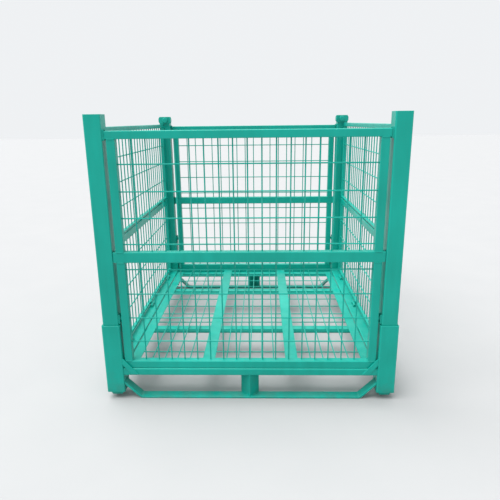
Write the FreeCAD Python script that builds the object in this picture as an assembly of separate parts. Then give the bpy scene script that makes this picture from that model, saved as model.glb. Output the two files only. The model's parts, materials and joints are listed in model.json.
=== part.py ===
import FreeCAD, Part
import math
import os
from FreeCAD import Vector

# Collapsible stacking cage: a welded steel base with four corner sleeves, four posts that stand in
# the sleeves, two lift-off gates (front and back) and two bi-fold mesh walls (left and right).
# Millimetres. The origin is on the ground under the middle of the base, the front faces -Y.
# side is -1 for left and +1 for right, end is -1 for front and +1 for back.

# ---- driving dimensions -------------------------------------------------------------------------
WIDTH = 1120.0
LENGTH = 1320.0
HEIGHT = 1080.0
GAP = 0.5

SLEEVE = 70.0
SLEEVE_WALL = 4.0
SLEEVE_BOTTOM = 35.0
SLEEVE_TOP = 310.0
SLEEVE_RADIUS = 6.0

POST = 60.0
POST_WALL = 3.0
POST_RADIUS = 5.0
POST_DEPTH_IN_SLEEVE = 140.0
STOP_PLATE = 8.0

FOOT_PLATE = 5.0
FOOT_TOP = 51.0
FOOT_TIP = 38.0
FOOT_DEPTH = 18.0

SETBACK = 5.0
SIDE_SETBACK = 20.0
RAIL_WIDTH = 50.0
RAIL_BOTTOM = 100.0
RAIL_TOP = 130.0
RAIL_WALL = 3.0
RAIL_RADIUS = 5.0

SKID_WIDTH = 40.0
SKID_THICK = 8.0
SKID_BEND_X = 430.0
ANGLE_LEG = 50.0
ANGLE_THICK = 5.0

BRACE_FOOT_X = 432.0
BRACE_BOTTOM = 107.0
BRACE_RISE = 68.0
BRACE_BAND = 30.0

CROSS_WIDTH = 40.0
CROSS_BOTTOM = 101.0
CROSS_TOP = 121.0
CROSS_PLACES = (-569.0, -255.0, 255.0, 569.0)
STRIP_THICK = 5.0
STRIP_INNER = 142.0
STRIP_OUTER = 192.0
STRIP_HALF = 605.0
EDGE_STRIP_INNER = 446.0
EDGE_STRIP_OUTER = 486.0
EDGE_STRIP_HALF = 575.0
BEARER_WALL = 2.0
BEARER_RADIUS = 3.0

WIRE = 5.0
WELD_SINK = 0.5
WIRE_PITCH = 50.0
WIRE_RUNG = 96.0
RUNG_DATUM = 911.0
RUNG_CLEAR = 10.0

GATE_HALF = 488.0
GATE_SETBACK = 8.0
GATE_MIDDLE_HALF = 493.5
GATE_DEPTH = 30.0
GATE_STILE_OUTER = 483.0
GATE_STILE_WIDTH = 30.0
GATE_BOTTOM_RAIL = (130.5, 160.5)
GATE_MIDDLE_RAIL = (556.0, 596.0)
GATE_TOP_RAIL = (997.0, 1025.0)
GATE_WALL = 2.0
GATE_RADIUS = 3.0

STUD_RADIUS = 7.0
STUD_TIP = 493.5
STUD_CAP = 3.0
LOWER_STUD_Z = 332.0
UPPER_STUD_Z = 1011.0
KEEPER_THICK = 5.0
KEEPER_REACH = 6.0
KEEPER_PLAY = 0.6
LOWER_KEEPER = (314.0, 350.0)
UPPER_KEEPER = (992.0, 1030.0)

WALL_INNER = 530.0
WALL_OUTER = 546.0
WALL_HALF_LENGTH = 585.0
WALL_STILE = 20.0
WALL_TUBE_WALL = 2.0
WALL_TUBE_RADIUS = 3.0
LOWER_WALL = (140.0, 595.0)
LOWER_RAILS = (14.0, 32.0)
UPPER_WALL = (601.0, 1037.0)
UPPER_RAILS = (10.0, 20.0)
HINGE_PLACES = (-430.0, 0.0, 430.0)

BASE_PIVOT_X = 522.0
BASE_PIVOT_Z = 137.0
SADDLE_HALF = 8.0
MID_PIVOT_X = 551.0
MID_PIVOT_Z = 598.0
KNUCKLE_RADIUS = 6.5
HINGE_PIN_RADIUS = 3.5
HINGE_PIN_PLAY = 0.08
LEAF_THICK = 4.0
UPPER_LEAF_TOP = 611.0
LOWER_LEAF_BOTTOM = 563.0
KNUCKLE_HALF = 9.75
HINGE_HALF = 30.0

LATCH_X = 520.0
LATCH_Z = 1060.5
LATCH_HALF_LENGTH = 38.0
LATCH_HALF_HEIGHT = 19.5
LATCH_CORNER = 14.0
LATCH_THICK = 6.0
LIP_THICK = 6.0
LIP_HALF_HEIGHT = 9.0
LIP_REACH = 28.0
BOLT_RADIUS = 6.0
BOLT_PLAY = 0.06
WASHER = 1.0
WASHER_RADIUS = 11.0
LATCH_PLAY = 0.3
BOLT_HEAD_RADIUS = 15.0
BOLT_HEAD = 7.0

# ---- derived places -----------------------------------------------------------------------------
HALF_WIDTH = WIDTH / 2
HALF_LENGTH = LENGTH / 2
POST_X = HALF_WIDTH - SLEEVE / 2
POST_Y = HALF_LENGTH - SLEEVE / 2
SLEEVE_INNER_X = HALF_WIDTH - SLEEVE
SLEEVE_INNER_Y = HALF_LENGTH - SLEEVE
POST_INNER_X = POST_X - POST / 2
POST_INNER_Y = POST_Y - POST / 2
POST_BOTTOM = SLEEVE_TOP - POST_DEPTH_IN_SLEEVE
RAIL_OUTER_X = HALF_WIDTH - SIDE_SETBACK
RAIL_OUTER_Y = HALF_LENGTH - SETBACK
RAIL_INNER_X = RAIL_OUTER_X - RAIL_WIDTH
RAIL_INNER_Y = RAIL_OUTER_Y - RAIL_WIDTH
GATE_FACE_Y = HALF_LENGTH - GATE_SETBACK
GATE_BACK_Y = GATE_FACE_Y - GATE_DEPTH
GATE_MIDDLE_Y = (GATE_FACE_Y + GATE_BACK_Y) / 2
GATE_STILE_INNER = GATE_STILE_OUTER - GATE_STILE_WIDTH
WALL_MIDDLE = (WALL_INNER + WALL_OUTER) / 2
X_AXIS = 0
Y_AXIS = 1
Z_AXIS = 2
SIDES = {"left": -1, "right": 1}
ENDS = {"front": -1, "back": 1}


# ---- shape helpers ------------------------------------------------------------------------------
def block(x, y, z):
    """Box between the two coordinates given for each axis, in any order."""
    low = Vector(min(x), min(y), min(z))
    return Part.makeBox(max(x) - low.x, max(y) - low.y, max(z) - low.z, low)


def runs_along(edge, axis):
    """True for a straight edge that lies along the axis."""
    along = edge.Vertexes[-1].Point - edge.Vertexes[0].Point
    return abs(along[axis]) > 0.99 * along.Length


def rounded_block(x, y, z, axis, radius):
    """Box whose four edges along the axis are rounded."""
    solid = block(x, y, z)
    return solid.makeFillet(radius, [edge for edge in solid.Edges if runs_along(edge, axis)])


def tube(x, y, z, axis, wall, radius):
    """Open-ended rectangular hollow section that fills the box and runs along the axis."""
    bore = [(min(pair) + wall, max(pair) - wall) for pair in (x, y, z)]
    full = (x, y, z)[axis]
    bore[axis] = (min(full) - 1, max(full) + 1)
    inner = rounded_block(bore[0], bore[1], bore[2], axis, max(radius - wall, 1.0))
    return rounded_block(x, y, z, axis, radius).cut(inner)


def rod_y(x, z, y, radius):
    """Round bar along Y between the two y values."""
    return Part.makeCylinder(radius, max(y) - min(y), Vector(x, min(y), z), Vector(0, 1, 0))


def rod_x(y, z, x, radius):
    """Round bar along X between the two x values."""
    return Part.makeCylinder(radius, max(x) - min(x), Vector(min(x), y, z), Vector(1, 0, 0))


def plate_xz(points, y):
    """Flat plate cut to the (x, z) outline, between the two y values."""
    corners = [Vector(px, min(y), pz) for px, pz in points]
    face = Part.Face(Part.makePolygon(corners + corners[:1]))
    return face.extrude(Vector(0, max(y) - min(y), 0))


def plate_xy(points, z):
    """Flat plate cut to the (x, y) outline, between the two z values."""
    corners = [Vector(px, py, min(z)) for px, py in points]
    face = Part.Face(Part.makePolygon(corners + corners[:1]))
    return face.extrude(Vector(0, 0, max(z) - min(z)))


def spaced(start, stop, pitch):
    """Wire places inside a span: equal gaps as close to the pitch as the span allows."""
    gaps = round((stop - start) / pitch)
    return [start + (stop - start) * i / gaps for i in range(1, gaps)]


def rungs(start, stop):
    """Heights of the level wires inside a span: all panels share one ladder of heights."""
    first = math.ceil((start + RUNG_CLEAR - RUNG_DATUM) / WIRE_RUNG)
    last = math.floor((stop - RUNG_CLEAR - RUNG_DATUM) / WIRE_RUNG)
    return [RUNG_DATUM + WIRE_RUNG * i for i in range(first, last + 1)]


def wire_sheet(normal, plane, spans, places):
    """Welded mesh facing the normal axis: two layers of crossed wires fused into one piece."""
    one, other = spans
    wires = []
    for run, cross, layer in ((one, other, -1), (other, one, 1)):
        for place in places[cross]:
            bounds = [None, None, None]
            middle = plane + layer * (WIRE - WELD_SINK) / 2
            bounds[normal] = (middle - WIRE / 2, middle + WIRE / 2)
            bounds[run] = spans[run]
            bounds[cross] = (place - WIRE / 2, place + WIRE / 2)
            wires.append(block(*bounds))
    return wires[0].multiFuse(wires[1:])


def save(node, solids):
    """Writes one node's solids to its STEP file."""
    flat = [solid for item in solids for solid in item.Solids]
    Part.makeCompound(flat).exportStep("parts/" + node + ".step")
    print(node, len(flat), round(sum(solid.Volume for solid in flat) / 1000, 1), "cm3")


# ---- base ---------------------------------------------------------------------------------------
def sleeve(side, end):
    """Square corner sleeve that the post stands in."""
    x = (side * SLEEVE_INNER_X, side * HALF_WIDTH)
    y = (end * SLEEVE_INNER_Y, end * HALF_LENGTH)
    return tube(x, y, (SLEEVE_BOTTOM, SLEEVE_TOP), Z_AXIS, SLEEVE_WALL, SLEEVE_RADIUS)


def stacking_foot(side, end):
    """Closing plate under a sleeve with the tapered plug that enters the post below."""
    x = (side * SLEEVE_INNER_X, side * HALF_WIDTH)
    y = (end * SLEEVE_INNER_Y, end * HALF_LENGTH)
    under = SLEEVE_BOTTOM - FOOT_PLATE
    plate = rounded_block(x, y, (under, SLEEVE_BOTTOM), Z_AXIS, SLEEVE_RADIUS)
    outlines = []
    for half, z in ((FOOT_TIP / 2, under - FOOT_DEPTH), (FOOT_TOP / 2, under)):
        ring = [(-half, -half), (half, -half), (half, half), (-half, half), (-half, -half)]
        centre = Vector(side * POST_X, end * POST_Y, z)
        outlines.append(Part.makePolygon([centre + Vector(px, py, 0) for px, py in ring]))
    return plate.fuse(Part.makeLoft(outlines, True))


def stop_plate(side, end):
    """Plate welded across the inside of a sleeve that the post's bottom end rests on."""
    half = SLEEVE / 2 - SLEEVE_WALL
    x = (side * POST_X - half, side * POST_X + half)
    y = (end * POST_Y - half, end * POST_Y + half)
    radius = SLEEVE_RADIUS - SLEEVE_WALL
    return rounded_block(x, y, (POST_BOTTOM - STOP_PLATE, POST_BOTTOM), Z_AXIS, radius)


def end_rail(end):
    """Front or back rail of the base."""
    y = (end * RAIL_INNER_Y, end * RAIL_OUTER_Y)
    x = (-SLEEVE_INNER_X, SLEEVE_INNER_X)
    return tube(x, y, (RAIL_BOTTOM, RAIL_TOP), X_AXIS, RAIL_WALL, RAIL_RADIUS)


def side_rail(side):
    """Left or right rail of the base."""
    x = (side * RAIL_INNER_X, side * RAIL_OUTER_X)
    y = (-SLEEVE_INNER_Y, SLEEVE_INNER_Y)
    return tube(x, y, (RAIL_BOTTOM, RAIL_TOP), Y_AXIS, RAIL_WALL, RAIL_RADIUS)


def skid(end):
    """Ground bar of one end: a flat run and two ends bent up to the sleeves, mitred at the bends."""
    y = (end * RAIL_OUTER_Y, end * (RAIL_OUTER_Y - SKID_WIDTH))
    top_bend = SKID_BEND_X - SKID_THICK * math.tan(math.radians(22.5))
    rise = SLEEVE_INNER_X - SKID_BEND_X
    flat = [(-SKID_BEND_X, 0), (SKID_BEND_X, 0), (top_bend, SKID_THICK), (-top_bend, SKID_THICK)]
    pieces = [plate_xz(flat, y)]
    for side in SIDES.values():
        ramp = [
            (side * SKID_BEND_X, 0),
            (side * SLEEVE_INNER_X, rise),
            (side * SLEEVE_INNER_X, rise + SKID_THICK * math.sqrt(2)),
            (side * top_bend, SKID_THICK),
        ]
        pieces.append(plate_xz(ramp, y))
    return pieces


def centre_support(end):
    """Angle iron between skid and base rail, with its corner pointing outwards."""
    tip = end * RAIL_OUTER_Y
    leg = ANGLE_LEG / math.sqrt(2)
    nib = ANGLE_THICK / math.sqrt(2)
    outline = [
        (0, tip),
        (leg, tip - end * leg),
        (leg - nib, tip - end * (leg + nib)),
        (0, tip - end * 2 * nib),
        (nib - leg, tip - end * (leg + nib)),
        (-leg, tip - end * leg),
    ]
    return plate_xy(outline, (SKID_THICK, RAIL_BOTTOM))


def corner_brace(side, end):
    """Slanted flat plate across the outer corner of sleeve and end rail, in front of the gate."""
    shift = (SLEEVE_INNER_X - BRACE_FOOT_X) * BRACE_BAND / BRACE_RISE
    outline = [
        (side * BRACE_FOOT_X, BRACE_BOTTOM),
        (side * SLEEVE_INNER_X, BRACE_BOTTOM + BRACE_RISE),
        (side * SLEEVE_INNER_X, BRACE_BOTTOM + BRACE_RISE - BRACE_BAND),
        (side * (BRACE_FOOT_X + shift), BRACE_BOTTOM),
    ]
    return plate_xz(outline, (end * RAIL_OUTER_Y, end * HALF_LENGTH))


def cross_member(place):
    """Hollow bearer across the base under the floor mesh."""
    y = (place - CROSS_WIDTH / 2, place + CROSS_WIDTH / 2)
    x = (-RAIL_INNER_X, RAIL_INNER_X)
    return tube(x, y, (CROSS_BOTTOM, CROSS_TOP), X_AXIS, BEARER_WALL, BEARER_RADIUS)


def floor_strip(x, half):
    """Flat bar from front to back on top of the bearers."""
    return block(x, (-half, half), (CROSS_TOP, CROSS_TOP + STRIP_THICK))


def floor_bay(x):
    """Floor mesh between two strips."""
    spans = {X_AXIS: x, Y_AXIS: (-RAIL_INNER_Y, RAIL_INNER_Y)}
    places = {
        X_AXIS: spaced(x[0], x[1], WIRE_PITCH),
        Y_AXIS: spaced(-RAIL_INNER_Y, RAIL_INNER_Y, 2 * WIRE_PITCH),
    }
    return wire_sheet(Z_AXIS, CROSS_TOP + WIRE - WELD_SINK / 2, spans, places)


def knuckle(x, z, y, leaf, bore):
    """Hinge knuckle: a barrel round the pivot, joined to its leaf and bored for the pin."""
    barrel = rod_y(x, z, y, KNUCKLE_RADIUS)
    return barrel.fuse(leaf).cut(rod_y(x, z, y, bore))


def outer_knuckles(place):
    """The y spans of the two outer knuckles of a hinge."""
    return [(place + way * (KNUCKLE_HALF + GAP), place + way * HINGE_HALF) for way in (-1, 1)]


def hinge_lugs(side, place):
    """The two outer knuckles of a base hinge, on saddles on top of the side rail."""
    x = side * BASE_PIVOT_X
    saddle_x = (x - SADDLE_HALF, x + SADDLE_HALF)
    pair = []
    for y in outer_knuckles(place):
        saddle = block(saddle_x, y, (RAIL_TOP, BASE_PIVOT_Z))
        pair.append(knuckle(x, BASE_PIVOT_Z, y, saddle, HINGE_PIN_RADIUS))
    return pair


def hinge_pin(x, z, place):
    """Pin through the three knuckles of one hinge."""
    return rod_y(x, z, (place - HINGE_HALF, place + HINGE_HALF), HINGE_PIN_RADIUS)


def build_base():
    """Welded base with its floor, feet and hinge lugs."""
    corners = [(side, end) for side in SIDES.values() for end in ENDS.values()]
    for end_name, end in ENDS.items():
        for side_name, side in SIDES.items():
            save("sleeve_" + end_name + "_" + side_name, [sleeve(side, end)])
        save("base_rail_" + end_name, [end_rail(end)])
        save("skid_" + end_name, skid(end))
    for side_name, side in SIDES.items():
        save("base_rail_" + side_name, [side_rail(side)])
    save("stacking_feet", [stacking_foot(*corner) for corner in corners])
    save("post_stop_plates", [stop_plate(*corner) for corner in corners])
    save("centre_supports", [centre_support(end) for end in ENDS.values()])
    save("corner_braces", [corner_brace(*corner) for corner in corners])
    save("floor_bearers", [cross_member(place) for place in CROSS_PLACES])
    strips = [(side * STRIP_INNER, side * STRIP_OUTER) for side in SIDES.values()]
    edges = [(side * EDGE_STRIP_INNER, side * EDGE_STRIP_OUTER) for side in SIDES.values()]
    save("floor_strips", [floor_strip(x, STRIP_HALF) for x in strips])
    save("floor_edge_strips", [floor_strip(x, EDGE_STRIP_HALF) for x in edges])
    bays = (
        (-EDGE_STRIP_INNER, -STRIP_OUTER),
        (-STRIP_INNER, STRIP_INNER),
        (STRIP_OUTER, EDGE_STRIP_INNER),
    )
    save("floor_mesh", [floor_bay(x) for x in bays])
    hinges = [(side, place) for side in SIDES.values() for place in HINGE_PLACES]
    save("base_hinge_lugs", [lug for hinge in hinges for lug in hinge_lugs(*hinge)])
    pins = [hinge_pin(side * BASE_PIVOT_X, BASE_PIVOT_Z, place) for side, place in hinges]
    save("base_hinge_pins", pins)


# ---- bi-fold side walls -------------------------------------------------------------------------
def wall_frame(side, z, rail_heights):
    """Four tubes of one wall panel, with the stiles between the rails."""
    x = (side * WALL_INNER, side * WALL_OUTER)
    y = (-WALL_HALF_LENGTH, WALL_HALF_LENGTH)
    low, high = z
    foot, head = wall_window(z, rail_heights)
    rails = [
        tube(x, y, (low, foot), Y_AXIS, WALL_TUBE_WALL, WALL_TUBE_RADIUS),
        tube(x, y, (head, high), Y_AXIS, WALL_TUBE_WALL, WALL_TUBE_RADIUS),
    ]
    stiles = []
    for end in ENDS.values():
        stile_y = (end * WALL_HALF_LENGTH, end * (WALL_HALF_LENGTH - WALL_STILE))
        stiles.append(tube(x, stile_y, (foot, head), Z_AXIS, WALL_TUBE_WALL, WALL_TUBE_RADIUS))
    return rails + stiles


def wall_window(z, rail_heights):
    """Heights between which the mesh of a wall panel stands."""
    return (z[0] + rail_heights[0], z[1] - rail_heights[1])


def wall_mesh(side, z, rail_heights):
    """Mesh inside the frame of one wall panel."""
    half = WALL_HALF_LENGTH - WALL_STILE
    inside = wall_window(z, rail_heights)
    spans = {Y_AXIS: (-half, half), Z_AXIS: inside}
    across = spaced(-half, half, WIRE_PITCH)
    places = {Y_AXIS: across, Z_AXIS: spaced(inside[0], inside[1], 2 * WIRE_PITCH)}
    return wire_sheet(X_AXIS, side * WALL_MIDDLE, spans, places)


def inner_span(place):
    """The y span of the middle knuckle of a hinge."""
    return (place - KNUCKLE_HALF, place + KNUCKLE_HALF)


def base_knuckle(side, place):
    """Middle knuckle of a base hinge, with its leaf on the bottom rail's inner face."""
    y = inner_span(place)
    leaf_x = (side * WALL_INNER, side * (WALL_INNER - LEAF_THICK))
    leaf = block(leaf_x, y, (BASE_PIVOT_Z, LOWER_WALL[0] + LOWER_RAILS[0]))
    bore = HINGE_PIN_RADIUS + HINGE_PIN_PLAY
    return knuckle(side * BASE_PIVOT_X, BASE_PIVOT_Z, y, leaf, bore)


def mid_knuckle(side, y, leaf_end, bore):
    """Knuckle of a middle hinge, with its leaf on the outer face of a rail."""
    leaf_x = (side * WALL_OUTER, side * (WALL_OUTER + LEAF_THICK))
    leaf = block(leaf_x, y, (MID_PIVOT_Z, leaf_end))
    return knuckle(side * MID_PIVOT_X, MID_PIVOT_Z, y, leaf, bore)


def build_walls():
    """Left and right walls: each a lower panel on the base hinges and an upper panel hinged to it."""
    loose = HINGE_PIN_RADIUS + HINGE_PIN_PLAY
    for name, side in SIDES.items():
        save(name + "_lower_frame", wall_frame(side, LOWER_WALL, LOWER_RAILS))
        save(name + "_upper_frame", wall_frame(side, UPPER_WALL, UPPER_RAILS))
        save(name + "_lower_mesh", [wall_mesh(side, LOWER_WALL, LOWER_RAILS)])
        save(name + "_upper_mesh", [wall_mesh(side, UPPER_WALL, UPPER_RAILS)])
        save(name + "_base_knuckles", [base_knuckle(side, place) for place in HINGE_PLACES])
        outer = [y for place in HINGE_PLACES for y in outer_knuckles(place)]
        lower = [mid_knuckle(side, y, LOWER_LEAF_BOTTOM, HINGE_PIN_RADIUS) for y in outer]
        save(name + "_lower_knuckles", lower)
        inner = [inner_span(place) for place in HINGE_PLACES]
        upper = [mid_knuckle(side, y, UPPER_LEAF_TOP, loose) for y in inner]
        save(name + "_upper_knuckles", upper)
        pins = [hinge_pin(side * MID_PIVOT_X, MID_PIVOT_Z, place) for place in HINGE_PLACES]
        save(name + "_mid_hinge_pins", pins)


# ---- lift-off gates -----------------------------------------------------------------------------
def gate_frame(end):
    """Three full-width rails and the four stile pieces between them."""
    y = (end * GATE_FACE_Y, end * GATE_BACK_Y)
    reaches = (
        (GATE_BOTTOM_RAIL, GATE_HALF),
        (GATE_MIDDLE_RAIL, GATE_MIDDLE_HALF),
        (GATE_TOP_RAIL, GATE_HALF - STUD_CAP),
    )
    tubes = [tube((-half, half), y, z, X_AXIS, GATE_WALL, GATE_RADIUS) for z, half in reaches]
    for side in SIDES.values():
        x = (side * GATE_STILE_INNER, side * GATE_STILE_OUTER)
        for z in gate_windows():
            tubes.append(tube(x, y, z, Z_AXIS, GATE_WALL, GATE_RADIUS))
    return tubes


def gate_windows():
    """Heights of the two mesh fields of a gate."""
    lower = (GATE_BOTTOM_RAIL[1], GATE_MIDDLE_RAIL[0])
    upper = (GATE_MIDDLE_RAIL[1], GATE_TOP_RAIL[0])
    return (lower, upper)


def gate_mesh(end, z):
    """Mesh in one field of a gate."""
    spans = {X_AXIS: (-GATE_STILE_INNER, GATE_STILE_INNER), Z_AXIS: z}
    across = spaced(-GATE_STILE_INNER, GATE_STILE_INNER, WIRE_PITCH)
    places = {X_AXIS: across, Z_AXIS: rungs(*z)}
    return wire_sheet(Y_AXIS, end * GATE_MIDDLE_Y, spans, places)


def gate_studs(end):
    """Round studs that run in the post channels: two on the stiles, two on the top rail's caps."""
    studs = []
    y = (end * GATE_FACE_Y, end * GATE_BACK_Y)
    middle = end * GATE_MIDDLE_Y
    for side in SIDES.values():
        low_x = (side * GATE_STILE_OUTER, side * STUD_TIP)
        studs.append(rod_x(middle, LOWER_STUD_Z, low_x, STUD_RADIUS))
        cap_x = (side * (GATE_HALF - STUD_CAP), side * GATE_HALF)
        studs.append(block(cap_x, y, GATE_TOP_RAIL))
        high_x = (side * GATE_HALF, side * STUD_TIP)
        studs.append(rod_x(middle, UPPER_STUD_Z, high_x, STUD_RADIUS))
    return studs


def build_gates():
    """Front and back gates, which stand on the base rails and lift straight up."""
    for name, end in ENDS.items():
        save(name + "_gate_frame", gate_frame(end))
        save(name + "_gate_mesh", [gate_mesh(end, z) for z in gate_windows()])
        save(name + "_gate_studs", gate_studs(end))


# ---- posts and turn latches ---------------------------------------------------------------------
def post(side, end):
    """Open-topped square post, standing on the stop plate inside its sleeve."""
    x = (side * POST_INNER_X, side * (POST_X + POST / 2))
    y = (end * POST_INNER_Y, end * (POST_Y + POST / 2))
    return tube(x, y, (POST_BOTTOM + GAP, HEIGHT), Z_AXIS, POST_WALL, POST_RADIUS)


def keepers(side, end):
    """Upright bars on the post's inner face, in pairs that form channels open at top and bottom."""
    x = (side * POST_INNER_X, side * (POST_INNER_X - KEEPER_REACH))
    bars = []
    for z in (LOWER_KEEPER, UPPER_KEEPER):
        for way in (-1, 1):
            near = end * GATE_MIDDLE_Y + way * (STUD_RADIUS + KEEPER_PLAY)
            bars.append(block(x, (near, near + way * KEEPER_THICK), z))
    return bars


def latch_bolt(side, end):
    """Washer, shank and round head that hold the turn latch to the post."""
    x = side * LATCH_X
    face = end * POST_INNER_Y
    head = face - end * (WASHER + 2 * LATCH_PLAY + LATCH_THICK)
    bolt = rod_y(x, LATCH_Z, (face, head), BOLT_RADIUS)
    washer = rod_y(x, LATCH_Z, (face, face - end * WASHER), WASHER_RADIUS)
    button = rod_y(x, LATCH_Z, (head, head - end * BOLT_HEAD), BOLT_HEAD_RADIUS)
    return bolt.fuse(washer).fuse(button)


def turn_latch(side, end):
    """Rounded plate on the bolt and the lip that drops behind the wall's top rail."""
    near = end * (POST_INNER_Y - WASHER - LATCH_PLAY)
    y = (near, near - end * LATCH_THICK)
    x = (side * (LATCH_X - LATCH_HALF_LENGTH), side * (LATCH_X + LATCH_HALF_LENGTH))
    z = (LATCH_Z - LATCH_HALF_HEIGHT, LATCH_Z + LATCH_HALF_HEIGHT)
    hole = rod_y(side * LATCH_X, LATCH_Z, y, BOLT_RADIUS + BOLT_PLAY)
    plate = rounded_block(x, y, z, Y_AXIS, LATCH_CORNER).cut(hole)
    lip_x = (x[0], x[0] + side * LIP_THICK)
    lip_z = (LATCH_Z - LIP_HALF_HEIGHT, LATCH_Z + LIP_HALF_HEIGHT)
    lip = block(lip_x, (y[1], y[1] - end * LIP_REACH), lip_z)
    return [plate, lip]


def build_posts():
    """Four posts with their gate channels, and a turn latch on each back post."""
    for end_name, end in ENDS.items():
        for side_name, side in SIDES.items():
            corner = end_name + "_" + side_name
            save("post_" + corner, [post(side, end)])
            save("gate_keepers_" + corner, keepers(side, end))
    for side_name, side in SIDES.items():
        save("latch_bolt_" + side_name, [latch_bolt(side, ENDS["back"])])
        save("turn_latch_" + side_name, turn_latch(side, ENDS["back"]))


os.makedirs("parts", exist_ok=True)
build_base()
build_walls()
build_gates()
build_posts()
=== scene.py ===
import json
import logging
import math
from collections.abc import Sequence
from dataclasses import dataclass
from enum import Enum

import bmesh
import bpy
from mathutils import Matrix, Vector


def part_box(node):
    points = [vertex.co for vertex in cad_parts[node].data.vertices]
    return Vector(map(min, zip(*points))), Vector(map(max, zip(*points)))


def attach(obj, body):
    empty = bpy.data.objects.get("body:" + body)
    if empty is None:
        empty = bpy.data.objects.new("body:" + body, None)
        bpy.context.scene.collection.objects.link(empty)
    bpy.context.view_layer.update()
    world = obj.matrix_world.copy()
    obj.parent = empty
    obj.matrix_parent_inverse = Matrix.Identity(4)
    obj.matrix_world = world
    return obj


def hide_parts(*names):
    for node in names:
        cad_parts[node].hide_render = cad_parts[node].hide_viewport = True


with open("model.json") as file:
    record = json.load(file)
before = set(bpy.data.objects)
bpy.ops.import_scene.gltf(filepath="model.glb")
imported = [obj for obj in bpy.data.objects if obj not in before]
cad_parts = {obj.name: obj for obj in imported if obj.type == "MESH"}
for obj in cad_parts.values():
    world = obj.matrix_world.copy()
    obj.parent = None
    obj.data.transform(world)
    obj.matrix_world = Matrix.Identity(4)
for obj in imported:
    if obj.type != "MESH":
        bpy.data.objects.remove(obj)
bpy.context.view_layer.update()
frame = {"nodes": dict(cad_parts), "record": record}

LOG = logging.getLogger("mesh_container")
EDGE_LAYER = "edge"
ARC_STEPS = 4
SHARP_ANGLE = math.radians(32.0)
RIM = 0.0006
BEAD_SIDES = 6
BEAD_TIP = 0.6
BEAD_RIPPLE = 0.16
BEAD_PITCH = 0.9
HALF_BEND = math.tan(math.radians(22.5))


class Axis(Enum):
    """Direction that a bar or plate runs along."""

    X = 0
    Y = 1
    Z = 2


class Side(Enum):
    """Left or right half of the cage."""

    LEFT = -1
    RIGHT = 1

    @property
    def word(self) -> str:
        """Name used in the node names."""
        return self.name.lower()


class End(Enum):
    """Front or back end of the cage."""

    FRONT = -1
    BACK = 1

    @property
    def word(self) -> str:
        """Name used in the node names."""
        return self.name.lower()


@dataclass(frozen=True)
class Box:
    """Axis-aligned box in metres."""

    low: Vector
    high: Vector

    @classmethod
    def of_node(cls, node: str) -> "Box":
        """Box of a node at rest."""
        low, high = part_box(node)
        return cls(low, high)

    @classmethod
    def between(cls, x: Sequence[float], y: Sequence[float], z: Sequence[float]) -> "Box":
        """Box between two values on each axis, given in any order."""
        low = Vector((min(x), min(y), min(z)))
        return cls(low, Vector((max(x), max(y), max(z))))

    @property
    def middle(self) -> Vector:
        """Centre point."""
        return (self.low + self.high) / 2


def placed(axis: Axis, along: float, u: float, v: float) -> Vector:
    """Point at a place along one axis and at two places across it.

    Args:
        axis: The axis that the first value is measured along.
        along: Place along the axis.
        u: Place on the first of the other two axes.
        v: Place on the second of the other two axes.

    Returns:
        The point in the frame of the cage.
    """
    values = [u, v]
    values.insert(axis.value, along)
    return Vector(values)


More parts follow.
